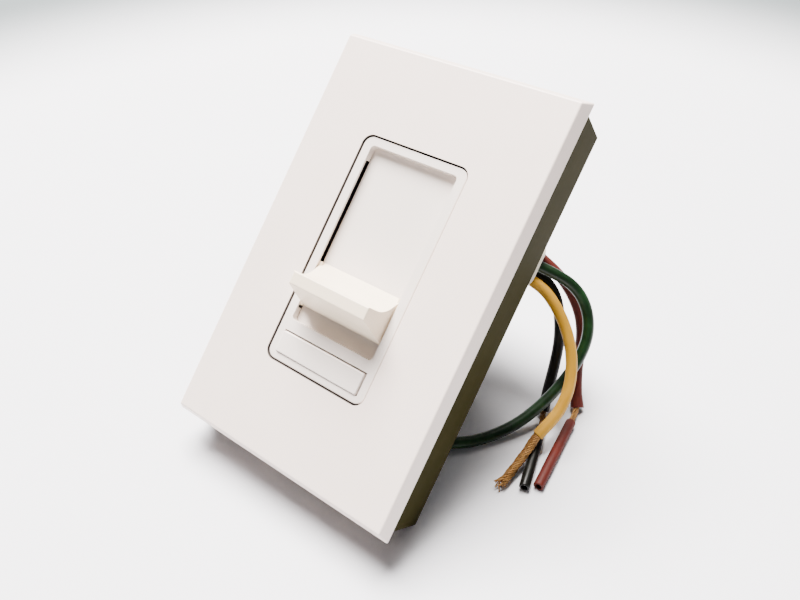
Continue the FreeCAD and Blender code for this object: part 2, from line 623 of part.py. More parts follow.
def make_ear_rivets():
    """Blind rivets through the web and the ears' feet."""
    rivets = []
    for i, (x, z) in enumerate(corners("ear_rivet_x", "ear_rivet_z")):
        shank = rod(f"EarRivetShank{i}", "y", x, "-(sink_front+0.6)", z, "1.6", "sink_wall+ear_sheet+0.6")
        head = rod(f"EarRivetHead{i}", "y", x, "-(sink_front+0.9)", z, "3.0", "0.9")
        tail = rod(f"EarRivetTail{i}", "y", x, "-(sink_front-sink_wall-ear_sheet)", z, "2.3", "1.2")
        rivets.append(joined(f"EarRivet{i}", [shank, head, tail]))
    return node(group("EarRivets", rivets), "ear_rivets")


def boot_blank(name, grow):
    """Obround strain relief blank, turned to the way the leads leave."""
    body = body_named(name)
    ends = sketch_on(body, name + "_section", "YZ_Plane")
    rectangle(ends, f"-(4.5+{grow})", f"4.5+{grow}", f"-(6.2+{grow})", f"6.2+{grow}")
    pad(body, name + "_bar", ends, "10", reverse=True)
    fillet(body, name + "_rounds", 3.2 + grow, lambda e: runs_along(e, Vector(1, 0, 0)))
    body.Placement = Placement(BOOT_MOUTH, Rotation(Vector(0, 0, 1), BOOT_TURN))
    return body


def make_lead_boot():
    """Pale strain relief in the housing's side, with a rounded mouth."""
    body = boot_blank("LeadBoot", 0.0)
    fillet(body, "BootMouthRound", 0.8, lambda e: abs(e.BoundBox.XMax) < 1e-3)
    return node(body, "lead_boot")


def make_back_housing():
    """Tub behind the web: chamfered rear edges, screw bosses and a side exit for the boot."""
    body = body_named("HousingBody")
    front = "-(sink_front-sink_wall)"

    def profile(inset, corner):
        high = f"house_half_height-{inset}"
        back = f"house_back-{inset}"
        return [(front, f"-({high})"), (f"{back}-{corner}", f"-({high})"), (back, f"-({high}-{corner})"),
                (back, f"{high}-{corner}"), (f"{back}-{corner}", high), (front, high)]

    outer = sketch_on(body, "HousingProfile", "YZ_Plane")
    outline(outer, profile("0", "house_chamfer"))
    pad(body, "HousingBlock", outer, "2*house_half_width", both_ways=True)
    half_width = VALUE["house_half_width"]
    fillet(body, "HousingSideRounds", 1.6, lambda e: abs(abs(edge_middle(e).x) - half_width) < 0.01
           and edge_middle(e).y > -VALUE["sink_front"] + VALUE["sink_wall"] + 0.1)
    inner = sketch_on(body, "CavityProfile", "YZ_Plane")
    outline(inner, profile("house_wall", "(house_chamfer-0.8)"))
    pocket(body, "Cavity", inner, "2*(house_half_width-house_wall)", both_ways=True)
    bosses = sketch_on(body, "BossOutline", "XZ_Plane", "sink_front-sink_wall")
    for i, (x, z) in enumerate(corners("house_screw_x", "house_screw_z")):
        circle(bosses, x, z, "3.3", f"boss{i}")
    pad(body, "Bosses", bosses, "14", reverse=True)
    pilots = sketch_on(body, "PilotOutline", "XZ_Plane", "sink_front-sink_wall")
    for i, (x, z) in enumerate(corners("house_screw_x", "house_screw_z")):
        circle(pilots, x, z, "1.55", f"pilot{i}")
    pocket(body, "Pilots", pilots, "12")
    doc.recompute()
    housing = cut("BackHousing", body, [boot_blank("BootHole", 0.05)])
    return node(housing, "back_housing")


def make_housing_screws():
    """Countersunk screws, flush in the web."""
    screws = []
    for i, (x, z) in enumerate(corners("house_screw_x", "house_screw_z")):
        head = taper(f"HousingHead{i}", x, "-sink_front", z, "3.0", "1.5", "1.5")
        shank = rod(f"HousingShank{i}", "y", x, "-(sink_front-1.4)", z, "1.5", "11")
        screws.append(joined(f"HousingScrew{i}", [head, shank]))
    return node(group("HousingScrews", screws), "housing_screws")


# ---- Electronics in the housing ----------------------------------------------------------------

def make_circuit_board():
    """Board that carries the fader, switch and filter."""
    board = block("BoardSheet", "-21.6", "-board_front", "-30.6", "43.2", "board_thick", "61.2")
    notches = [rod(f"BoardNotch{i}", "y", x, "-(board_front+1)", z, "4.2", "4")
               for i, (x, z) in enumerate(corners("house_screw_x", "house_screw_z"))]
    return node(cut("CircuitBoard", board, notches), "circuit_board")


def make_triac():
    """Power switch on the web: tabbed package, insulating pad and rivet."""
    web_back = "-(sink_front-sink_wall)"
    pad_sheet = block("TriacPad", "12.1", f"{web_back}", "3.5", "10.3", "0.3", "20")
    hole = rod("TriacPadHole", "y", "triac_rivet_x", f"{web_back}-1", "triac_rivet_z", "1.75", "3")
    node(cut("TriacInsulator", pad_sheet, [hole]), "triac_insulator")
    tab = block("TriacTab", "12.3", f"{web_back}+0.3", "8", "10", "1.3", "15.6")
    case = block("TriacCase", "12.3", f"{web_back}+0.3", "4.5", "10", "4.5", "11.8")
    tab_hole = rod("TriacTabHole", "y", "triac_rivet_x", f"{web_back}-1", "triac_rivet_z", "1.75", "5")
    legs = [block(f"TriacLeg{i}", f"{x}-0.35", f"{web_back}+2.4", "2.8", "0.7", "6.75", "0.7")
            for i, x in enumerate((14.8, 17.3, 19.8))]
    roots = [block(f"TriacRoot{i}", f"{x}-0.35", f"{web_back}+2.4", "2.8", "0.7", "0.6", "2.2")
             for i, x in enumerate((14.8, 17.3, 19.8))]
    package = cut("TriacDrilled", joined("TriacBlank", [tab, case]), [tab_hole])
    node(joined("Triac", [package] + legs + roots), "triac")
    head = taper("TriacRivetHead", "triac_rivet_x", "-sink_front", "triac_rivet_z", "3.0", "1.5", "1.5")
    shank = rod("TriacRivetShank", "y", "triac_rivet_x", "-(sink_front-1.4)", "triac_rivet_z", "1.5",
                "sink_wall+0.3")
    tail = rod("TriacRivetTail", "y", "triac_rivet_x", f"{web_back}+1.6", "triac_rivet_z", "2.4", "0.9")
    node(joined("TriacRivet", [shank, head, tail]), "triac_rivet")


def make_choke():
    """Toroidal filter choke: ring core inside its winding."""
    ring = rod("ChokeRing", "y", "-7.5", "3.4", "14.5", "10.6", "8")
    bore = rod("ChokeBore", "y", "-7.5", "3", "14.5", "6.4", "9")
    core = node(cut("ChokeCore", ring, [bore]), "choke_core")
    coil = doc.addObject("Part::Torus", "ChokeCoil")
    coil.Placement = Placement(Vector(-7.5, 7.4, 14.5), AXIS_TURN["y"])
    coil.Radius1 = 8.5
    coil.Radius2 = 6.2
    space_ring = rod("ChokeSpaceRing", "y", "-7.5", "3.3", "14.5", "10.7", "8.2")
    space_bore = rod("ChokeSpaceBore", "y", "-7.5", "3", "14.5", "6.3", "9")
    node(cut("ChokeWinding", coil, [cut("ChokeSpace", space_ring, [space_bore])]), "choke_winding")
    return core


def make_small_electronics():
    """Capacitors, resistors, diac and thermal cut-out."""
    behind = "-(board_front-board_thick)"
    for label, x, z, width, deep, height in (
            ("film_capacitor", -20, -24, 18, 14, 9), ("snubber_capacitor", 3, -24, 13, 10, 6)):
        case = doc.addObject("Part::Fillet", label.title().replace("_", ""))
        case.Base = block(label + "_block", x, behind, z, width, deep, height)
        doc.recompute()
        case.Edges = [(i, 1.0, 1.0) for i in range(1, 13)]
        node(case, label)
    resistors = []
    for i, z in enumerate((-11, -7)):
        tube = rod(f"ResistorTube{i}", "x", "4", f"{behind}+1.5", z, "1.2", "6.4")
        leads = [rod(f"ResistorLead{i}{j}", "y", x, f"{behind}+0.05", z, "0.3", "1.8")
                 for j, x in enumerate(("4.4", "10.0"))]
        resistors.append(joined(f"Resistor{i}", [tube] + leads))
    node(group("Resistors", resistors), "resistors")
    bead = rod("DiacBead", "x", "13", f"{behind}+1.3", "-9", "1.0", "4")
    ends = [rod(f"DiacLead{j}", "y", x, f"{behind}+0.05", "-9", "0.3", "1.4")
            for j, x in enumerate(("13.5", "16.5"))]
    node(joined("Diac", [bead] + ends), "diac")
    cutout = rod("CutoutTube", "z", "17.3", "-(sink_front-sink_wall-2.1)", "-16", "2.0", "12")
    node(cutout, "thermal_cutout")


# ---- Leads -------------------------------------------------------------------------------------

def lead_path(points):
    """Straight runs joined by tangent arcs, each as large as its two runs allow; and the radii."""
    points = [Vector(*point) for point in points]
    edges = []
    radii = []
    start = points[0]
    for before, corner, after in zip(points, points[1:], points[2:]):
        incoming = corner - before
        outgoing = after - corner
        half_turn = incoming.getAngle(outgoing) / 2
        tangent = 0.45 * min(incoming.Length, outgoing.Length)
        radius = tangent / math.tan(half_turn)
        way_in = incoming.normalize()
        way_out = outgoing.normalize()
        arc_start = corner - way_in * tangent
        arc_end = corner + way_out * tangent
        inward = (way_out - way_in).normalize()
        centre = corner + inward * (radius / math.cos(half_turn))
        middle = centre + (corner - centre).normalize() * radius
        edges.append(Part.LineSegment(start, arc_start).toShape())
        edges.append(Part.Arc(arc_start, middle, arc_end).toShape())
        radii.append(radius)
        start = arc_end
    edges.append(Part.LineSegment(start, points[-1]).toShape())
    return Part.Wire(edges), radii


def make_lead(name, diameter):
    """Round tube along one of the routes, with its volume compared to section times length."""
    path, radii = lead_path(ROUTES[name])
    first = Vector(*ROUTES[name][0])
    heading = Vector(*ROUTES[name][1]) - first
    section = Part.Wire([Part.makeCircle(diameter / 2, first, heading)])
    tube = path.makePipeShell([section], True, True)
    expected = math.pi * diameter ** 2 / 4 * path.Length
    if abs(tube.Volume / expected - 1) > 0.01:
        raise ValueError(f"{name}: volume {tube.Volume:.1f}, expected {expected:.1f}")
    turns = ", ".join(f"{radius:.1f}" for radius in radii)
    print(f"{name}: {path.Length:.1f} mm long, bend radii {turns}")
    item = doc.addObject("Part::Feature", name.title().replace("_", ""))
    item.Shape = tube
    item.Placement = Placement()
    return node(item, name)


def make_leads():
    """Four leads, their bare copper and the insulation left on two of the ends."""
    for name in ROUTES:
        if name.endswith("lead"):
            make_lead(name, VALUE["lead_diameter"])
        elif name.endswith("slug"):
            make_lead(name, VALUE["slug_diameter"])
        else:
            make_lead(name, VALUE["core_diameter"])


# ---- Export ------------------------------------------------------------------------------------

def check_and_export():
    """Refuse failed or invalid objects, then write one STEP file per sub-part."""
    doc.recompute()
    failed = [item.Name for item in doc.Objects if {"Invalid", "Error"} & set(item.State)]
    if failed:
        raise RuntimeError("failed objects: " + ", ".join(failed))
    os.makedirs("parts", exist_ok=True)
    for item in nodes:
        shape = item.Shape
        if shape.isNull() or not shape.isValid() or not shape.Solids:
            raise RuntimeError(f"{item.Label} has no valid solid")
        shape.exportStep(f"parts/{item.Label}.step")
        print(f"{item.Label}: {len(shape.Solids)} solid(s), {shape.Volume:.0f} mm3")
    print(len(nodes), "sub-parts")


make_faceplate()
make_adapter()
make_adapter_screws()
make_bezel()
make_track_panel()
make_dust_shield()
make_slide_paddle()
make_slide_carriage()
make_fader()
make_push_button()
make_switch()
make_switch_dome()
make_heat_sink()
make_ear("upper_ear", 1)
make_ear("lower_ear", -1)
make_ear_rivets()
make_back_housing()
make_lead_boot()
make_housing_screws()
make_circuit_board()
make_triac()
make_choke()
make_small_electronics()
make_leads()
check_and_export()
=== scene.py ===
"""Slide dimmer on a table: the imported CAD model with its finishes, leads, copper ends and light.

Everything is in metres in the model's own frame: +Z up the wall, +Y into the wall, +X to the right.
"""

import json
import logging
import math
import random
from collections.abc import Sequence
from dataclasses import dataclass
from enum import Enum
from typing import Any

import bmesh
import bpy
from mathutils import Matrix, Vector

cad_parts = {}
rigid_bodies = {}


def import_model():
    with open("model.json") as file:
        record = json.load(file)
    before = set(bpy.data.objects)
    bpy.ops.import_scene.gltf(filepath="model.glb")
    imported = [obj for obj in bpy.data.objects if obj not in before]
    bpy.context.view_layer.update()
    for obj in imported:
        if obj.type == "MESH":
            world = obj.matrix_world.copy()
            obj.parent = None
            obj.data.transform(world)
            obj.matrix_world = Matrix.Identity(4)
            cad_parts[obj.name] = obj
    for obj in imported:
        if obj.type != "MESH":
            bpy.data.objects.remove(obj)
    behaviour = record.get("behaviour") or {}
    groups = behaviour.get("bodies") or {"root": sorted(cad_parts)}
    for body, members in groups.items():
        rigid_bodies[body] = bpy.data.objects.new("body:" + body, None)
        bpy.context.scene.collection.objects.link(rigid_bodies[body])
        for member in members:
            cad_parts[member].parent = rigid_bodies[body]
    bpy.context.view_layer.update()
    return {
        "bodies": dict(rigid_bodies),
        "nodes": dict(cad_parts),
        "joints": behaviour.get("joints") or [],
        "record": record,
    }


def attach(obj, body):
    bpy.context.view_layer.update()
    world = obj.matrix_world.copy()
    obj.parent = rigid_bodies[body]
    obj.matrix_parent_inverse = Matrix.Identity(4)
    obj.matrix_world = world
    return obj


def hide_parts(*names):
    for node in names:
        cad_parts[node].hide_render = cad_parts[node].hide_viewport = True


log = logging.getLogger("dimmer")

MM = 0.001
# Sides of a turned piece, and the angle from which its edges look sharp.
TURNED_SIDES = 40
SHARP_FROM = math.radians(38)
Triple = tuple[float, float, float]
Frame = dict[str, Any]
# A point of a line, with two unit vectors across the line.
Station = tuple[Vector, Vector, Vector]


# ---- Helpers -----------------------------------------------------------------------------------


def linear(colour: str) -> tuple[float, float, float, float]:
    """Turn an sRGB hex colour into linear light.

    Args:
        colour: six hex digits, red first.

    Returns:
        Linear red, green and blue, with full alpha.
    """
    parts = [int(colour[i : i + 2], 16) / 255 for i in (0, 2, 4)]
    made = [c / 12.92 if c <= 0.04045 else ((c + 0.055) / 1.055) ** 2.4 for c in parts]
    return (made[0], made[1], made[2], 1.0)


def per_metre(size_mm: float) -> float:
    """Texture scale whose features are about size_mm across."""
    return 1.0 / (size_mm * MM)


def add_node(
    tree: bpy.types.NodeTree, kind: str, inputs: dict[str | int, Any] | None = None, **settings: Any
) -> bpy.types.Node:
    """Add a node with its settings and links.

    Args:
        tree: the node tree that gets the node.
        kind: the node's type name.
        inputs: socket name or number to a value, or to the output socket that feeds it.
        **settings: the node's own properties.

    Returns:
        The new node.
    """
    node = tree.nodes.new(kind)
    for name, value in settings.items():
        setattr(node, name, value)
    for name, value in (inputs or {}).items():
        if isinstance(value, bpy.types.NodeSocket):
            tree.links.new(value, node.inputs[name])
        else:
            node.inputs[name].default_value = value
    return node


def new_tree(name: str) -> tuple[bpy.types.Material, bpy.types.NodeTree]:
    """Make an empty node material.

    Args:
        name: the material's name.

    Returns:
        The material and its tree.
    """
    material = bpy.data.materials.new(name)
    material.use_nodes = True
    material.node_tree.nodes.clear()
    return material, material.node_tree


def link_object(name: str, data: bpy.types.ID) -> bpy.types.Object:
    """Put data into the scene as an object.

    Args:
        name: the object's name.
        data: its mesh, curve, camera or light data.

    Returns:
        The object.
    """
    piece = bpy.data.objects.new(name, data)
    bpy.context.scene.collection.objects.link(piece)
    return piece


def metres(points_mm: Sequence[Triple]) -> list[Vector]:
    """Points in metres from points in millimetres."""
    return [Vector(point) * MM for point in points_mm]


def dress(frame: Frame, material: bpy.types.Material, *nodes: str) -> None:
    """Give CAD nodes a material in the slots that they already have.

    Args:
        material: the finish.
        *nodes: CAD node names.
    """
    for name in nodes:
        for slot in frame["nodes"][name].material_slots:
            slot.material = material
        log.info("%s wears %s", name, material.name)


# ---- Finishes ----------------------------------------------------------------------------------

# Noise seldom leaves this range, so it is spread from here to the full change in gloss.
NOISE_LOW, NOISE_HIGH = 0.3, 0.7


@dataclass(frozen=True)
class Seam:
    """Joint between the cover and the insert: a thin rounded rectangle of painted shade, for the dark of the
    deep gap.

    On the right the painted shade is narrower, by squeeze_mm.
    """

    half_wide_mm: float = 16.475
    half_high_mm: float = 33.225
    corner_mm: float = 2.83
    reach_mm: float = 0.27
    dark_part: float = 0.6
    squeeze_from_mm: float = 15.2
    squeeze_to_mm: float = 16.3
    squeeze_mm: float = 0.1
    # Colour of the painted shade in the gap.
    painted_shade: str = "15120f"

    def mask(self, tree: bpy.types.NodeTree, place: bpy.types.NodeSocket) -> bpy.types.NodeSocket:
        """Work out how near a point is to the joint, for the painted shade there.

        Args:
            tree: the material's node tree.
            place: object coordinates.

        Returns:
            One on the joint, and nought from reach_mm on.
        """
        vector, number = "ShaderNodeVectorMath", "ShaderNodeMath"
        room = ((self.half_wide_mm - self.corner_mm) * MM, 0.0, (self.half_high_mm - self.corner_mm) * MM)
        flat = add_node(tree, vector, {0: place, 1: (1.0, 0.0, 1.0)}, operation="MULTIPLY")
        folded = add_node(tree, vector, {0: flat.outputs["Vector"]}, operation="ABSOLUTE")
        past = add_node(tree, vector, {0: folded.outputs["Vector"], 1: room}, operation="SUBTRACT")
        # Outside the inner rectangle the distance is a length, and inside it the nearer side counts.
        corner = add_node(tree, vector, {0: past.outputs["Vector"], 1: (0.0, 0.0, 0.0)}, operation="MAXIMUM")
        outside = add_node(tree, vector, {0: corner.outputs["Vector"]}, operation="LENGTH")
        sides = add_node(tree, "ShaderNodeSeparateXYZ", {0: past.outputs["Vector"]}).outputs
        nearer = add_node(tree, number, {0: sides["X"], 1: sides["Z"]}, operation="MAXIMUM")
        inside = add_node(tree, number, {0: nearer.outputs["Value"], 1: 0.0}, operation="MINIMUM")
        both = {0: outside.outputs["Value"], 1: inside.outputs["Value"]}
        distance = add_node(tree, number, both, operation="ADD").outputs["Value"]
        away = add_node(tree, number, {0: distance, 1: self.corner_mm * MM}, operation="SUBTRACT")
        away = add_node(tree, number, {0: away.outputs["Value"]}, operation="ABSOLUTE")
        squeeze = add_node(
            tree,
            "ShaderNodeMapRange",
            {
                "Value": add_node(tree, "ShaderNodeSeparateXYZ", {0: place}).outputs["X"],
                "From Min": self.squeeze_from_mm * MM,
                "From Max": self.squeeze_to_mm * MM,
                "To Min": 0.0,
                "To Max": self.squeeze_mm * MM,
            },
        )
        both = {0: away.outputs["Value"], 1: squeeze.outputs["Result"]}
        away = add_node(tree, number, both, operation="ADD")
        fade = add_node(
            tree,
            "ShaderNodeMapRange",
            {
                "Value": away.outputs["Value"],
                "From Min": self.dark_part * self.reach_mm * MM,
                "From Max": self.reach_mm * MM,
                "To Min": 1.0,
                "To Max": 0.0,
            },
        )
        return fade.outputs["Result"]


@dataclass(frozen=True)
class Moulded:
    """Plastic, rubber or epoxy from a mould: even colour, faint flow mottling and a fine spark-eroded grain.

    The real grain is about 0.05 mm across. It is drawn coarser, so that it shows.
    """

    name: str
    tone: str
    shade: str
    roughness: float = 0.4
    ior: float = 1.5
    grain_mm: float = 0.25
    grain_depth_mm: float = 0.004
    mottle_mm: float = 12.0
    roughness_spread: float = 0.08
    specular: float = 0.5
    seam: Seam | None = None

    def make(self) -> bpy.types.Material:
        """Build the material.

        Returns:
            The finished material.
        """
        material, tree = new_tree(self.name)
        place = add_node(tree, "ShaderNodeTexCoord").outputs["Object"]
        flow = add_node(
            tree, "ShaderNodeTexNoise", {"Vector": place, "Scale": per_metre(self.mottle_mm), "Detail": 3.0}
        )
        tint = add_node(
            tree,
            "ShaderNodeMix",
            {"Factor": flow.outputs["Fac"], "A": linear(self.tone), "B": linear(self.shade)},
            data_type="RGBA",
        )
        colour = tint.outputs["Result"]
        # Painted shade: the seam's mask darkens the colour along the joint.
        if self.seam is not None:
            painted_shade = {"Factor": self.seam.mask(tree, place), "A": colour, "B": linear(self.seam.painted_shade)}
            colour = add_node(tree, "ShaderNodeMix", painted_shade, data_type="RGBA").outputs["Result"]
        grain = add_node(
            tree, "ShaderNodeTexNoise", {"Vector": place, "Scale": per_metre(self.grain_mm), "Detail": 2.0}
        )
        gloss = add_node(
            tree,
            "ShaderNodeMapRange",
            {
                "Value": grain.outputs["Fac"],
                "From Min": NOISE_LOW,
                "From Max": NOISE_HIGH,
                "To Min": self.roughness - self.roughness_spread,
                "To Max": self.roughness + self.roughness_spread,
            },
        )
        bump = add_node(
            tree,
            "ShaderNodeBump",
            {"Height": grain.outputs["Fac"], "Distance": self.grain_depth_mm * MM, "Strength": 0.8},
        )
        shader = add_node(
            tree,
            "ShaderNodeBsdfPrincipled",
            {
                "Base Color": colour,
                "Roughness": gloss.outputs["Result"],
                "Normal": bump.outputs["Normal"],
                "IOR": self.ior,
                "Specular IOR Level": self.specular,
            },
        )
        add_node(tree, "ShaderNodeOutputMaterial", {"Surface": shader.outputs["BSDF"]})
        return material


@dataclass(frozen=True)
class DrawnMetal:
    """Metal that was extruded, rolled or drawn: fine lines along one axis, and patches where its coat varies.

    Real lines are 0.05 to 0.1 mm apart. They are drawn coarser, so that they show.
    """

    name: str
    tone: str
    shade: str
    metallic: float = 1.0
    roughness: float = 0.35
    line_mm: float = 0.35
    line_depth_mm: float = 0.006
    stretch: Triple = (1.0, 1.0, 1.0)
    patch_mm: float = 8.0
    specular: float = 0.5
    roughness_spread: float = 0.08

    def make(self) -> bpy.types.Material:
        """Build the material.

        Returns:
            The finished material.
        """
        material, tree = new_tree(self.name)
        place = add_node(tree, "ShaderNodeTexCoord").outputs["Object"]
        along = add_node(tree, "ShaderNodeMapping", {"Vector": place, "Scale": self.stretch})
        lines = add_node(
            tree,
            "ShaderNodeTexNoise",
            {"Vector": along.outputs["Vector"], "Scale": per_metre(self.line_mm), "Detail": 3.0},
        )
        patch = add_node(
            tree, "ShaderNodeTexNoise", {"Vector": place, "Scale": per_metre(self.patch_mm), "Detail": 4.0}
        )
        tint = add_node(
            tree,
            "ShaderNodeMix",
            {"Factor": patch.outputs["Fac"], "A": linear(self.tone), "B": linear(self.shade)},
            data_type="RGBA",
        )
        gloss = add_node(
            tree,
            "ShaderNodeMapRange",
            {
                "Value": lines.outputs["Fac"],
                "From Min": NOISE_LOW,
                "From Max": NOISE_HIGH,
                "To Min": self.roughness - self.roughness_spread,
                "To Max": self.roughness + self.roughness_spread,
            },
        )
        bump = add_node(
            tree,
            "ShaderNodeBump",
            {"Height": lines.outputs["Fac"], "Distance": self.line_depth_mm * MM, "Strength": 0.7},
        )
        shader = add_node(
            tree,
            "ShaderNodeBsdfPrincipled",
            {
                "Base Color": tint.outputs["Result"],
                "Metallic": self.metallic,
                "Specular IOR Level": self.specular,
                "Roughness": gloss.outputs["Result"],
                "Normal": bump.outputs["Normal"],
            },
        )
        add_node(tree, "ShaderNodeOutputMaterial", {"Surface": shader.outputs["BSDF"]})
        return material


@dataclass(frozen=True)
class Sheath:
    """Extruded PVC over stranded wire: waxy gloss, a faint orange peel and rubbed, paler patches."""

    name: str
    tone: str
    rubbed: str
    roughness: float = 0.36
    peel_mm: float = 1.3
    peel_depth_mm: float = 0.05
    rub_mm: float = 7.0
    rubbed_from: float = 0.45
    rubbed_to: float = 0.75
    smoother: float = 0.08
    rougher: float = 0.12
    ior: float = 1.53
    specular: float = 0.25

    def make(self) -> bpy.types.Material:
        """Build the material.

        Returns:
            The finished material.
        """
        material, tree = new_tree(self.name)
        place = add_node(tree, "ShaderNodeTexCoord").outputs["Object"]
        rub = add_node(
            tree, "ShaderNodeTexNoise", {"Vector": place, "Scale": per_metre(self.rub_mm), "Detail": 5.0}
        )
        worn = add_node(
            tree,
            "ShaderNodeMapRange",
            {
                "Value": rub.outputs["Fac"],
                "From Min": self.rubbed_from,
                "From Max": self.rubbed_to,
                "To Min": 0.0,
                "To Max": 1.0,
            },
        )
        tint = add_node(
            tree,
            "ShaderNodeMix",
            {"Factor": worn.outputs["Result"], "A": linear(self.tone), "B": linear(self.rubbed)},
            data_type="RGBA",
        )
        peel = add_node(
            tree, "ShaderNodeTexNoise", {"Vector": place, "Scale": per_metre(self.peel_mm), "Detail": 2.0}
        )
        bump = add_node(
            tree,
            "ShaderNodeBump",
            {"Height": peel.outputs["Fac"], "Distance": self.peel_depth_mm * MM, "Strength": 0.6},
        )
        gloss = add_node(
            tree,
            "ShaderNodeMapRange",
            {
                "Value": rub.outputs["Fac"],
                "To Min": self.roughness - self.smoother,
                "To Max": self.roughness + self.rougher,
            },
        )
        shader = add_node(
            tree,
            "ShaderNodeBsdfPrincipled",
            {
                "Base Color": tint.outputs["Result"],
                "Roughness": gloss.outputs["Result"],
                "Normal": bump.outputs["Normal"],
                "IOR": self.ior,
                "Specular IOR Level": self.specular,
            },
        )
        add_node(tree, "ShaderNodeOutputMaterial", {"Surface": shader.outputs["BSDF"]})
        return material


# Painted shade along the joint between the cover and the insert, used by both of their materials.
JOINT = Seam()
# Moulded ABS cover: near white, very slightly pink, a satin sheen that spreads the light evenly.
COVER_ABS = Moulded("moulded_abs_cover", "fbece3", "f6e5db", roughness=0.42, ior=1.53, seam=JOINT)
# The insert's ABS is a slightly cooler white with a finer grain, which sets it off from the cover.
BEZEL_ABS = Moulded("moulded_abs_insert", "f2e8e1", "ede2da", ior=1.53, grain_mm=0.2, seam=JOINT)
# The slide is another batch, a touch creamier and glossier where fingers polish it.
SLIDE_ABS = Moulded("moulded_abs_slide", "faead2", "f5e3c8", roughness=0.34, ior=1.53, grain_mm=0.2)
# Carbon-filled polycarbonate: dead black, so the side slots read as dark lines.
BLACK_PC = Moulded("black_polycarbonate", "0b0b0c", "131314", roughness=0.55, ior=1.58)
# Mineral-filled thermoset of the back housing: near black with a coarse, dry grain.
HOUSING_THERMOSET = Moulded(
    "thermoset_housing",
    "151618",
    "1d1e20",
    roughness=0.55,
    ior=1.55,
    grain_mm=0.45,
    grain_depth_mm=0.012,
    specular=0.3,
)
# Natural nylon: ivory and slightly waxy, a pale sliver against the dark heat sink.
NATURAL_NYLON = Moulded("natural_nylon", "d9d2c0", "cdc5b0", roughness=0.38, ior=1.53)
# Silicone rubber: soft mid grey with hardly any highlight.
SILICONE = Moulded("silicone_rubber", "808285", "74767a", roughness=0.6, ior=1.41)
# Moulded epoxy body: charcoal, with a close grain that dulls the highlight.
MOULDED_EPOXY = Moulded("moulded_epoxy", "1a1a1b", "232324", roughness=0.5, ior=1.56, grain_mm=0.15)
# Woven glass in epoxy under solder mask: glossy green, clouded by the weave below.
GLASS_EPOXY = Moulded("solder_masked_glass_epoxy", "1f5a2c", "2b6b38", roughness=0.3, ior=1.55, mottle_mm=1.2)
# Phenolic paper: matte brown with pressed fibre clouds.
PHENOLIC_PAPER = Moulded("phenolic_paper", "6b4526", "7a5130", roughness=0.5, ior=1.6, mottle_mm=2.0)
# Mica sheet: pale straw, shiny, in uneven flakes.
MICA = Moulded("mica_sheet", "cfc8b4", "bdb59f", roughness=0.28, ior=1.58, mottle_mm=3.0)
# Powder coat on an iron-powder ring: olive yellow with an orange-peel skin.
FERRITE_COAT = Moulded("powder_coated_iron_core", "8c8a2f", "7c7a28", roughness=0.5, grain_mm=0.5)
# Polyester capacitor case: amber, smooth and rather glossy.
CAPACITOR_CASE = Moulded("polyester_capacitor_case", "c9982a", "bd8c22", roughness=0.35, ior=1.52)
# Resistor lacquer: opaque tan with a dull shine.
RESISTOR_LACQUER = Moulded("resistor_lacquer", "c3a072", "b49162")
# Diac lacquer: clear blue over the glass body, with a sharp highlight.
DIAC_LACQUER = Moulded("diac_lacquer", "2a4f9a", "24458a", roughness=0.3)
# Black anodised extrusion: the dye has gone olive with age, and die lines run up its sides. The dyed oxide
# hides the metal, so it is not metallic, and it drinks in nearly all the light that grazes it.
ANODISED = DrawnMetal(
    "anodised_aluminium",
    "2b2814",
    "322e18",
    metallic=0.0,
    roughness=0.55,
    line_mm=0.6,
    line_depth_mm=0.0004,
    stretch=(1.0, 1.0, 0.015),
    specular=0.008,
    roughness_spread=0.02,
)
# Zinc plate on rolled steel: pale grey, slightly yellow, with rolling lines across.
ZINC_PLATE = DrawnMetal("zinc_plated_steel", "b9b7ab", "a5a396", roughness=0.34, stretch=(0.03, 1.0, 1.0))
# Bright steel of screws and rivets: clean grey with clear highlights.
BRIGHT_STEEL = DrawnMetal("bright_steel", "b4b4b2", "9d9d9b", roughness=0.28)
# Bare strands: golden copper that has browned in patches. The oxide dulls it, so it is only half metallic.
AGED_COPPER = DrawnMetal("aged_copper", "bf8c48", "4a2e14", metallic=0.5, roughness=0.42, patch_mm=0.9)
# Enamelled copper: red-brown with the wet shine of clear enamel.
ENAMELLED_COPPER = DrawnMetal("enamelled_copper", "9a4b22", "7d3717", roughness=0.22)
# Green PVC: bottle green that reads almost black in the shade, with a long waxy highlight.
GREEN_PVC = Sheath("green_pvc", "0b210c", "173a18")
# Yellow PVC: warm mustard, duller than the others, and paler where it was rubbed.
YELLOW_PVC = Sheath("yellow_pvc", "ad7f1a", "bd8d29", roughness=0.5)
# Black PVC: a soft, slightly olive black with a thin highlight along it.
BLACK_PVC = Sheath("black_pvc", "0b0b08", "161610")
# Red PVC: dull brick red, drier to the eye than the rest.
RED_PVC = Sheath("red_pvc", "4c140b", "5c1b10", roughness=0.6)


# ---- Curves and turned pieces --------------------------------------------------------------------


def spline_curve(name: str, points: Sequence[Vector], diameter_mm: float) -> bpy.types.Object:
    """Make a round curve piece through a route's control points.

    Args:
        name: the piece's name.
        points: control points in metres.
        diameter_mm: the curve's thickness, or 0 for a bare line.

    Returns:
        The curve object.
    """
    data = bpy.data.curves.new(name, "CURVE")
    data.dimensions = "3D"
    spline = data.splines.new("NURBS")
    spline.points.add(len(points) - 1)
    for control, point in zip(spline.points, points):
        control.co = (*point, 1.0)
    spline.order_u = min(3, len(points))
    spline.use_endpoint_u = True
    spline.resolution_u = 10
    data.bevel_depth = diameter_mm * MM / 2
    data.bevel_resolution = 8
    data.use_fill_caps = True
    return link_object(name, data)


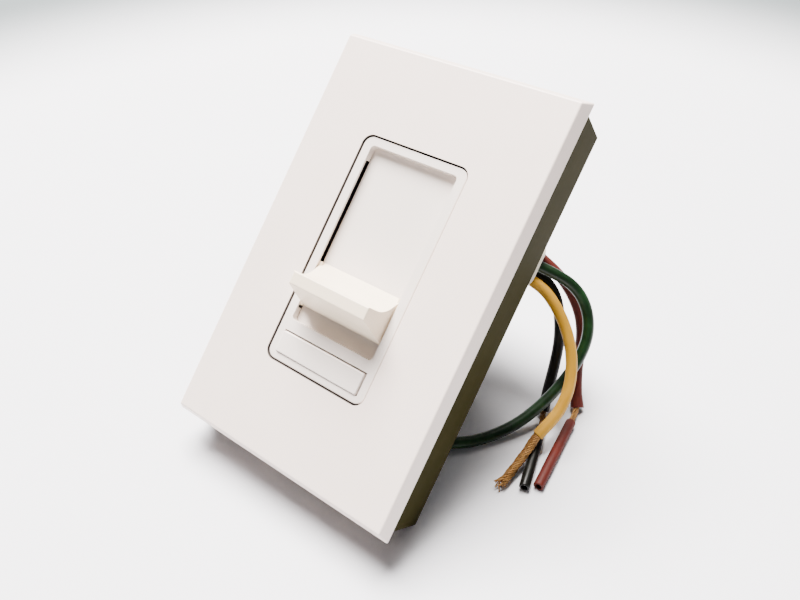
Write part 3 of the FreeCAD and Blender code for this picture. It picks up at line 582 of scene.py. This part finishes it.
def centre_line(points: Sequence[Vector], steps: int) -> list[Vector]:
    """Read evenly spaced points from the spline of a route.

    Args:
        points: control points in metres.
        steps: how many equal steps to take.

    Returns:
        Points from the spline's start to its end.
    """
    line = spline_curve("line", points, 0.0)
    mesh = bpy.data.meshes.new_from_object(line)
    raw = [vertex.co.copy() for vertex in mesh.vertices]
    curve = line.data
    bpy.data.objects.remove(line)
    bpy.data.curves.remove(curve)
    bpy.data.meshes.remove(mesh)
    reach = [0.0]
    for before, after in zip(raw, raw[1:]):
        reach.append(reach[-1] + (after - before).length)
    even = []
    index = 0
    for step in range(steps + 1):
        target = reach[-1] * step / steps
        while index < len(raw) - 2 and reach[index + 1] < target:
            index += 1
        span = max(reach[index + 1] - reach[index], 1e-9)
        even.append(raw[index].lerp(raw[index + 1], (target - reach[index]) / span))
    return even


def stations(points: Sequence[Vector]) -> list[Station]:
    """Carry two cross directions along a line without twisting them.

    Args:
        points: the line.

    Returns:
        Each point with two unit vectors across the line.
    """
    made = []
    across = None
    for index, point in enumerate(points):
        ahead = (points[min(index + 1, len(points) - 1)] - points[max(index - 1, 0)]).normalized()
        if across is None:
            across = ahead.orthogonal()
        across = (across - ahead * across.dot(ahead)).normalized()
        made.append((point, across, ahead.cross(across)))
    return made


@dataclass(frozen=True)
class Lay:
    """How the wires of a stranded conductor are twisted.

    Real wires are about 0.25 mm thick. There are fewer of them here, drawn thicker, so that each one shows.
    """

    # Distance from the middle in millimetres and number of wires, from the core outwards.
    rings: tuple[tuple[float, int], ...]
    pitch_mm: float
    wire_mm: float = 0.44
    # From this far out, the wires of a ring lie half a gap further round.
    stagger_from_mm: float = 0.6


LOOSE_LAY = Lay(((0.0, 1), (0.5, 6), (1.04, 10)), pitch_mm=11.0)
TIGHT_LAY = Lay(((0.0, 1), (0.62, 7)), pitch_mm=14.0)


@dataclass(frozen=True)
class Strands:
    """Stranded copper: rings of round wires twisted about a line, fanned out at the tip if frayed."""

    name: str
    route_mm: tuple[Triple, ...]
    lay: Lay
    seed: int
    fray_mm: float = 0.0
    fray_spread_mm: float = 1.0
    fray_lean: float = 0.35
    # A frayed wire may be cut short by fewer than this many steps.
    cut_short: int = 7
    # Each wire's distance from the middle swells and shrinks, as in a hand-twisted end.
    swell: float = 0.11
    swell_per_mm: float = 1.1
    swell_per_wire: float = 2.3
    steps: int = 56

    def wire(
        self,
        line: Sequence[Station],
        length_mm: float,
        ring: tuple[float, int],
        number: int,
        rough: random.Random,
    ) -> list[Vector]:
        """Twist one wire about the line.

        Args:
            line: the conductor's middle.
            length_mm: the middle's length.
            ring: the ring's distance from the middle and its number of wires.
            number: which wire of the ring this is.
            rough: where the wire's own lean, spread and length come from.

        Returns:
            The wire's points.
        """
        out_mm, count = ring
        start = 2 * math.pi * (number + 0.5 * (out_mm > self.lay.stagger_from_mm)) / count
        lean = rough.uniform(-self.fray_lean, self.fray_lean)
        spread_mm = rough.uniform(0.2, 1.0) * self.fray_spread_mm
        last = self.steps - (rough.randrange(0, self.cut_short) if self.fray_mm else 0)
        points = []
        for step in range(last + 1):
            along_mm = length_mm * step / self.steps
            frayed_mm = along_mm - (length_mm - self.fray_mm)
            loose = max(0.0, frayed_mm / self.fray_mm) if self.fray_mm else 0.0
            swollen = 1 + self.swell * math.sin(along_mm * self.swell_per_mm + self.swell_per_wire * number)
            radius = (out_mm * swollen + spread_mm * loose * loose) * MM
            turn = start + 2 * math.pi * along_mm / self.lay.pitch_mm + lean * loose
            middle, one, two = line[step]
            points.append(middle + (one * math.cos(turn) + two * math.sin(turn)) * radius)
        return points

    def build(self, material: bpy.types.Material) -> bpy.types.Object:
        """Make the wires as one curve piece.

        Args:
            material: the wires' finish.

        Returns:
            The curve object.
        """
        rough = random.Random(self.seed)
        line = stations(centre_line(metres(self.route_mm), self.steps))
        length_mm = sum((after[0] - before[0]).length for before, after in zip(line, line[1:])) / MM
        data = bpy.data.curves.new(self.name, "CURVE")
        data.dimensions = "3D"
        data.bevel_depth = self.lay.wire_mm * MM / 2
        data.bevel_resolution = 2
        data.use_fill_caps = True
        for ring in self.lay.rings:
            for number in range(ring[1]):
                points = self.wire(line, length_mm, ring, number, rough)
                spline = data.splines.new("POLY")
                spline.points.add(len(points) - 1)
                for control, point in zip(spline.points, points):
                    control.co = (*point, 1.0)
                spline.use_smooth = True
        data.materials.append(material)
        return link_object(self.name, data)


def turned(
    name: str, start: Vector, end: Vector, profile_mm: Sequence[tuple[float, float]], wander_mm: float
) -> bpy.types.Object:
    """Turn a closed profile around a line.

    Args:
        name: the piece's name.
        start: where the profile's distances are counted from, in metres.
        end: a point that the line runs towards, in metres.
        profile_mm: (distance along the line, radius) pairs, in order around the wall.
        wander_mm: how far a hand-cut surface wanders.

    Returns:
        The mesh object.
    """
    axis = (end - start).normalized()
    one = axis.orthogonal().normalized()
    two = axis.cross(one)
    shape = bmesh.new()
    rings = []
    for along_mm, radius_mm in profile_mm:
        ring = []
        for index in range(TURNED_SIDES):
            angle = 2 * math.pi * index / TURNED_SIDES
            # A long wave and a short one make the wander of a cut by hand.
            drift = wander_mm * (math.sin(2 * angle + 1.1) + 0.5 * math.sin(5 * angle + along_mm))
            offset = (one * math.cos(angle) + two * math.sin(angle)) * (radius_mm + 0.4 * drift) * MM
            ring.append(shape.verts.new(start + axis * (along_mm + drift) * MM + offset))
        rings.append(ring)
    for index, ring in enumerate(rings):
        follow = rings[(index + 1) % len(rings)]
        for side in range(TURNED_SIDES):
            other = (side + 1) % TURNED_SIDES
            face = shape.faces.new((ring[side], ring[other], follow[other], follow[side]))
            face.smooth = True
    bmesh.ops.recalc_face_normals(shape, faces=shape.faces)
    mesh = bpy.data.meshes.new(name)
    shape.to_mesh(mesh)
    shape.free()
    mesh.set_sharp_from_angle(angle=SHARP_FROM)
    return link_object(name, mesh)


# ---- Studio ----------------------------------------------------------------------------------------


@dataclass(frozen=True)
class Lamp:
    """A square soft light that faces the dimmer."""

    name: str
    place_mm: Triple
    side_m: float
    power: float
    colour: str = "fffaf6"

    def hang(self) -> None:
        """Put the light into the scene."""
        data = bpy.data.lights.new(self.name, "AREA")
        data.size = self.side_m
        data.energy = self.power
        data.color = linear(self.colour)[:3]
        lamp = link_object(self.name, data)
        place = Vector(self.place_mm) * MM
        lamp.location = place
        lamp.rotation_euler = (-place).to_track_quat("-Z", "Y").to_euler()
        log.info("%s hung", self.name)


# The window gives the broad sheen and the soft shadow to the right. The ceiling opens that shadow a little.
LAMPS = (
    Lamp("window", (-425.0, -700.0, 1020.0), side_m=0.8, power=146.0),
    Lamp("ceiling", (-150.0, -160.0, 1100.0), side_m=0.6, power=6.0),
)


@dataclass
class Studio:
    """Camera, table and soft light."""

    lens_mm: float = 32.09
    sensor_mm: float = 36.0
    camera_mm: Triple = (92.25, -184.79, 0.09)
    right: Triple = (0.81282, 0.40004, 0.42343)
    up: Triple = (-0.39052, -0.16514, 0.90566)
    table_normal: Triple = (0.0, -0.727, 0.687)
    table_drop_mm: float = 39.4
    table_side_m: float = 3.0
    card_tone: str = "e6e7ec"
    card_shade: str = "e2e3e9"
    card_cloud_mm: float = 60.0
    # Painted shade: the table turns grey between these distances from shade_middle.
    painted_falloff: str = "687072"
    shade_middle: Triple = (0.008, 0.034, -0.022)
    shade_from_m: float = 0.27
    shade_to_m: float = 0.43
    room_colour: str = "e6e8ee"
    room_strength: float = 0.155

    def add_camera(self) -> None:
        """Place the camera and make it the scene's."""
        data = bpy.data.cameras.new("camera")
        data.lens = self.lens_mm
        data.sensor_width = self.sensor_mm
        data.clip_start = 0.005
        data.clip_end = 20.0
        right = Vector(self.right).normalized()
        up = Vector(self.up).normalized()
        back = right.cross(up).normalized()
        up = back.cross(right)
        camera = link_object("camera", data)
        turn = Matrix((right, up, back)).transposed().to_4x4()
        camera.matrix_world = Matrix.Translation(Vector(self.camera_mm) * MM) @ turn
        bpy.context.scene.camera = camera
        log.info("camera placed")

    def add_table(self) -> None:
        """Lay the table that the dimmer leans back on; it is clear from behind, so no side view is hidden."""
        normal = Vector(self.table_normal).normalized()
        across = Vector((1.0, 0.0, 0.0))
        along = normal.cross(across)
        centre = normal * (-self.table_drop_mm * MM)
        half = self.table_side_m / 2
        sides = ((-1, -1), (1, -1), (1, 1), (-1, 1))
        corners = [centre + across * x * half + along * y * half for x, y in sides]
        mesh = bpy.data.meshes.new("table")
        mesh.from_pydata(corners, [], [(0, 1, 2, 3)])
        table = link_object("table", mesh)
        table.data.materials.append(self.table_material())
        log.info("table laid")

    def table_material(self) -> bpy.types.Material:
        """Make the matte card of the table: a cool, even white, with painted shade that turns it grey far
        from the dimmer.

        Returns:
            The material: lit from the front, clear from behind.
        """
        material, tree = new_tree("matte_card")
        place = add_node(tree, "ShaderNodeTexCoord").outputs["Object"]
        cloud = add_node(
            tree,
            "ShaderNodeTexNoise",
            {"Vector": place, "Scale": per_metre(self.card_cloud_mm), "Detail": 3.0},
        )
        tint = add_node(
            tree,
            "ShaderNodeMix",
            {"Factor": cloud.outputs["Fac"], "A": linear(self.card_tone), "B": linear(self.card_shade)},
            data_type="RGBA",
        )
        reach = add_node(tree, "ShaderNodeVectorMath", {0: place, 1: self.shade_middle}, operation="DISTANCE")
        far = add_node(
            tree,
            "ShaderNodeMapRange",
            {
                "Value": reach.outputs["Value"],
                "From Min": self.shade_from_m,
                "From Max": self.shade_to_m,
                "To Min": 0.0,
                "To Max": 1.0,
            },
            interpolation_type="SMOOTHSTEP",
        )
        # Painted shade: the card turns grey far from the dimmer.
        tint = add_node(
            tree,
            "ShaderNodeMix",
            {"Factor": far.outputs["Result"], "A": tint.outputs["Result"], "B": linear(self.painted_falloff)},
            data_type="RGBA",
        )
        card = add_node(
            tree,
            "ShaderNodeBsdfPrincipled",
            {"Base Color": tint.outputs["Result"], "Roughness": 0.75, "IOR": 1.45},
        )
        clear = add_node(tree, "ShaderNodeBsdfTransparent")
        behind = add_node(tree, "ShaderNodeNewGeometry").outputs["Backfacing"]
        both = add_node(
            tree, "ShaderNodeMixShader", {0: behind, 1: card.outputs["BSDF"], 2: clear.outputs["BSDF"]}
        )
        add_node(tree, "ShaderNodeOutputMaterial", {"Surface": both.outputs["Shader"]})
        return material

    def add_room(self) -> None:
        """Fill the room with pale, even light, which keeps the shadows open."""
        world = bpy.data.worlds.new("room")
        world.use_nodes = True
        tree = world.node_tree
        tree.nodes.clear()
        glow = add_node(
            tree, "ShaderNodeBackground", {"Color": linear(self.room_colour), "Strength": self.room_strength}
        )
        add_node(tree, "ShaderNodeOutputWorld", {"Surface": glow.outputs["Background"]})
        bpy.context.scene.world = world

    def build(self) -> None:
        """Set up the camera, the table and the light."""
        self.add_camera()
        self.add_table()
        self.add_room()
        for lamp in LAMPS:
            lamp.hang()


# ---- Leads -----------------------------------------------------------------------------------------


class Tip(Enum):
    """How a lead ends."""

    BARE = "twisted strands, bare to the end"
    SLUG = "a short gap of copper, with a slug of insulation left on the end"


@dataclass(frozen=True)
class Lead:
    """One insulated lead, from the strain relief to its stripped end."""

    colour: str
    finish: Sheath
    route_mm: tuple[Triple, ...]
    mouth_mm: Triple
    length_mm: float
    tip: Tip
    copper_mm: tuple[Triple, ...]
    fray_mm: float = 0.0
    flare_mm: float = 0.0
    diameter_mm: float = 3.4
    slug_mm: float = 3.0
    bore_mm: float = 1.9
    # The wires stop this far along the slug, out of sight.
    copper_in_slug: float = 0.93

    def flare(self, material: bpy.types.Material) -> bpy.types.Object:
        """Make the lip that the stripping tool stretched at the end of the sheath.

        Args:
            material: the sheath's finish.

        Returns:
            The mesh object.
        """
        end, before = (Vector(point) * MM for point in (self.route_mm[-1], self.route_mm[-2]))
        # The lip begins this far before the sheath's end.
        back_mm = 3.2
        start = end + (before - end).normalized() * back_mm * MM
        radius = self.diameter_mm / 2
        wide = radius + self.flare_mm
        # Up the outside, over the stretched lip and down into the bore.
        profile = [
            (0.0, radius - 0.25),
            (0.1, radius + 0.01),
            (1.4, radius + 0.08),
            (2.4, radius + 0.6 * self.flare_mm),
            (back_mm + 0.6, wide),
            (back_mm + 0.75, wide - 0.14),
            (back_mm + 0.6, wide - 0.32),
            (back_mm + 0.05, self.bore_mm / 2 + 0.35),
            (back_mm - 0.4, self.bore_mm / 2 + 0.3),
        ]
        piece = turned(f"{self.colour}_flare", start, end, profile, wander_mm=0.09)
        piece.data.materials.append(material)
        return piece

    def slug(self, material: bpy.types.Material) -> bpy.types.Object:
        """Make the slug of insulation left on the end.

        Args:
            material: the sheath's finish.

        Returns:
            The mesh object.
        """
        start, end = (Vector(point) * MM for point in self.copper_mm[-2:])
        length = (end - start).length / MM
        outer, inner = self.slug_mm / 2, self.bore_mm / 2
        # From the bore over the near rim, along the outside, and over the far rim into the bore again.
        profile = [
            (0.5, inner),
            (0.05, inner + 0.12),
            (0.0, outer - 0.25),
            (0.14, outer - 0.06),
            (0.4, outer),
            (length * 0.33, outer - 0.02),
            (length * 0.66, outer + 0.02),
            (length - 0.3, outer),
            (length - 0.1, outer - 0.08),
            (length, outer - 0.25),
            (length - 0.04, inner + 0.08),
            (length - 0.5, inner),
        ]
        piece = turned(f"{self.colour}_slug_sleeve", start, end, profile, wander_mm=0.05)
        piece.data.materials.append(material)
        return piece

    def wires(self, copper: bpy.types.Material) -> bpy.types.Object:
        """Make the bare copper.

        Args:
            copper: the strands' finish.

        Returns:
            The curve object.
        """
        bare = self.tip is Tip.BARE
        route = self.copper_mm
        if not bare:
            before, end = (Vector(point) for point in route[-2:])
            route = (*route[:-1], tuple(before.lerp(end, self.copper_in_slug)))
        lay = LOOSE_LAY if bare else TIGHT_LAY
        strands = Strands(f"{self.colour}_wires", route, lay, seed=len(self.colour), fray_mm=self.fray_mm)
        return strands.build(copper)

    def build(self, copper: bpy.types.Material) -> None:
        """Args:
            copper: the strands' finish.
        """
        material = self.finish.make()
        sheath = spline_curve(f"{self.colour}_sheath", metres(self.route_mm), self.diameter_mm)
        sheath.data.materials.append(material)
        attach(sheath, "base")
        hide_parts(f"{self.colour}_lead")
        wires = self.wires(copper)
        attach(wires, "base")
        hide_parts(f"{self.colour}_strands" if self.tip is Tip.BARE else f"{self.colour}_core")
        if self.tip is Tip.SLUG:
            slug = self.slug(material)
            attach(slug, "base")
            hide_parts(f"{self.colour}_slug")
        if self.flare_mm:
            lip = self.flare(material)
            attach(lip, "base")
        log.info("%s lead, %s", self.colour, self.tip.value)


LEADS = (
    Lead(
        "green",
        GREEN_PVC,
        (
            (28.0, 20.0, 22.1),
            (34.3, 22.9, 22.1),
            (40.9, 27.4, 21.4),
            (46.1, 31.0, 17.4),
            (49.5, 33.3, 10.8),
            (50.2, 34.1, 3.2),
            (49.0, 33.3, -5.5),
            (46.8, 31.1, -14.2),
            (43.4, 27.4, -22.9),
            (38.2, 22.9, -30.3),
            (32.3, 18.3, -35.4),
            (25.9, 14.2, -38.5),
        ),
        mouth_mm=(30.26, 21.04, 22.1),
        length_mm=94.0,
        tip=Tip.BARE,
        copper_mm=(
            (26.7, 14.7, -38.1),
            (25.9, 14.2, -38.5),
            (22.6, 12.0, -40.4),
            (19.0, 10.6, -41.6),
        ),
        fray_mm=1.5,
    ),
    Lead(
        "yellow",
        YELLOW_PVC,
        (
            (28.1, 19.8, 17.5),
            (33.4, 22.3, 17.0),
            (39.3, 24.3, 13.4),
            (45.0, 25.6, 8.2),
            (49.6, 26.3, 1.6),
            (52.5, 26.3, -6.0),
            (53.2, 25.6, -13.1),
            (52.0, 24.6, -18.8),
            (50.7, 23.6, -23.0),
        ),
        mouth_mm=(30.34, 20.86, 17.29),
        length_mm=54.0,
        tip=Tip.BARE,
        copper_mm=(
            (51.0, 23.8, -22.1),
            (50.7, 23.6, -23.0),
            (50.2, 21.3, -28.6),
            (49.8, 17.7, -34.8),
            (48.8, 13.8, -40.2),
        ),
        fray_mm=4.5,
    ),
    Lead(
        "black",
        BLACK_PVC,
        (
            (26.3, 23.6, 20.6),
            (31.6, 26.1, 20.0),
            (36.5, 28.7, 17.0),
            (40.1, 31.4, 11.0),
            (42.5, 33.8, 4.4),
            (44.0, 35.4, -3.5),
            (45.4, 35.7, -11.5),
            (46.8, 35.3, -16.9),
        ),
        mouth_mm=(28.53, 24.65, 20.35),
        length_mm=48.0,
        tip=Tip.SLUG,
        copper_mm=(
            (46.5, 35.4, -15.9),
            (46.8, 35.3, -16.9),
            (47.9, 33.8, -19.1),
            (49.2, 31.5, -21.2),
            (54.9, 16.6, -37.0),
        ),
    ),
    Lead(
        "red",
        RED_PVC,
        (
            (26.5, 23.2, 25.6),
            (33.9, 26.9, 23.5),
            (39.9, 32.3, 19.6),
            (44.5, 36.9, 14.3),
            (47.3, 39.5, 7.8),
            (49.4, 40.0, -0.2),
            (51.6, 40.8, -6.0),
            (54.1, 41.2, -11.0),
        ),
        mouth_mm=(28.7, 24.3, 24.98),
        length_mm=53.0,
        tip=Tip.SLUG,
        copper_mm=(
            (53.7, 41.1, -10.1),
            (54.1, 41.2, -11.0),
            (54.9, 39.6, -13.2),
            (55.4, 36.7, -16.1),
            (57.9, 18.7, -35.2),
        ),
        flare_mm=0.35,
    ),
)


# ---- Sub-assemblies ---------------------------------------------------------------------------------


@dataclass
class Cover:
    """Cover plate and its snap-in adapter, with the screws and rivets of the whole dimmer."""

    plastic: Moulded = COVER_ABS
    fixings: DrawnMetal = BRIGHT_STEEL

    def build(self, frame: Frame) -> None:
        """Dress the cover's pieces.
        """
        dress(frame, self.plastic.make(), "faceplate", "faceplate_adapter")
        dress(frame, self.fixings.make(), "adapter_screws", "housing_screws", "ear_rivets", "triac_rivet")


@dataclass
class Controls:
    """Insert, recess floor, slide and push button, with the fader and switch behind them."""

    insert: Moulded = BEZEL_ABS
    slide: Moulded = SLIDE_ABS
    inside: Moulded = BLACK_PC

    def build(self, frame: Frame) -> None:
        """Dress the controls.
        """
        dress(frame, self.insert.make(), "bezel", "track_panel", "push_button")
        dress(frame, self.slide.make(), "slide_paddle")
        dress(
            frame,
            self.inside.make(),
            "dust_shield",
            "slide_carriage",
            "switch_plunger",
            "switch_body",
            "fader_wiper",
        )
        dress(frame, SILICONE.make(), "switch_dome")
        dress(frame, PHENOLIC_PAPER.make(), "fader_board")


@dataclass
class HeatSink:
    """Anodised channel, mounting ears, back housing and strain relief."""

    channel: DrawnMetal = ANODISED
    plated: DrawnMetal = ZINC_PLATE
    housing: Moulded = HOUSING_THERMOSET
    boot: Moulded = NATURAL_NYLON

    def build(self, frame: Frame) -> None:
        """Dress the heat sink and what is fixed to it.
        """
        dress(frame, self.channel.make(), "heat_sink")
        dress(frame, self.plated.make(), "upper_ear", "lower_ear", "fader_frame", "thermal_cutout")
        dress(frame, self.housing.make(), "back_housing")
        dress(frame, self.boot.make(), "lead_boot")


@dataclass
class Electronics:
    """Circuit board and the parts of the dimming circuit."""

    choke_centre_mm: Triple = (-7.5, 7.4, 14.5)
    choke_middle_mm: float = 8.5
    coil_across_mm: float = 2.7
    coil_deep_mm: float = 4.6
    # Below 1, the turn hugs the core's wall as a rounded rectangle; 1 would make it an ellipse.
    coil_roundness: float = 0.45
    wound_degrees: float = 330.0
    turns: int = 46
    steps: int = 22
    wire_mm: float = 0.9

    def winding(self) -> bpy.types.Object:
        """Wind enamelled wire around the ring core.

        Returns:
            The curve object.
        """
        data = bpy.data.curves.new("choke_turns", "CURVE")
        data.dimensions = "3D"
        data.bevel_depth = self.wire_mm * MM / 2
        data.bevel_resolution = 2
        data.use_fill_caps = True
        spline = data.splines.new("NURBS")
        total = self.turns * self.steps
        spline.points.add(total)
        centre = Vector(self.choke_centre_mm)
        for index, control in enumerate(spline.points):
            round_ring = math.radians(self.wound_degrees) * index / total
            round_wall = 2 * math.pi * index / self.steps
            cosine, sine = math.cos(round_wall), math.sin(round_wall)
            across = self.coil_across_mm * math.copysign(abs(cosine) ** self.coil_roundness, cosine)
            deep = self.coil_deep_mm * math.copysign(abs(sine) ** self.coil_roundness, sine)
            radius = self.choke_middle_mm + across
            spot = centre + Vector((radius * math.cos(round_ring), deep, radius * math.sin(round_ring)))
            control.co = (*(spot * MM), 1.0)
        spline.order_u = 3
        spline.use_endpoint_u = True
        spline.resolution_u = 2
        return link_object("choke_turns", data)

    def build(self, frame: Frame) -> None:
        """Dress the board and its parts, and wind the choke.
        """
        dress(frame, GLASS_EPOXY.make(), "circuit_board")
        dress(frame, MOULDED_EPOXY.make(), "triac")
        dress(frame, MICA.make(), "triac_insulator")
        dress(frame, FERRITE_COAT.make(), "choke_core")
        dress(frame, CAPACITOR_CASE.make(), "film_capacitor", "snubber_capacitor")
        dress(frame, RESISTOR_LACQUER.make(), "resistors")
        dress(frame, DIAC_LACQUER.make(), "diac")
        coil = self.winding()
        coil.data.materials.append(ENAMELLED_COPPER.make())
        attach(coil, "base")
        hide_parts("choke_winding")
        log.info("choke wound with %d turns", self.turns)


def main() -> None:
    """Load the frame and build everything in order."""
    logging.basicConfig(level=logging.INFO, format="%(name)s: %(message)s")
    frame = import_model()
    Studio().build()
    copper = AGED_COPPER.make()
    for lead in LEADS:
        lead.build(copper)
    for part in (Cover(), Controls(), HeatSink(), Electronics()):
        part.build(frame)


if __name__ == "__main__":
    main()
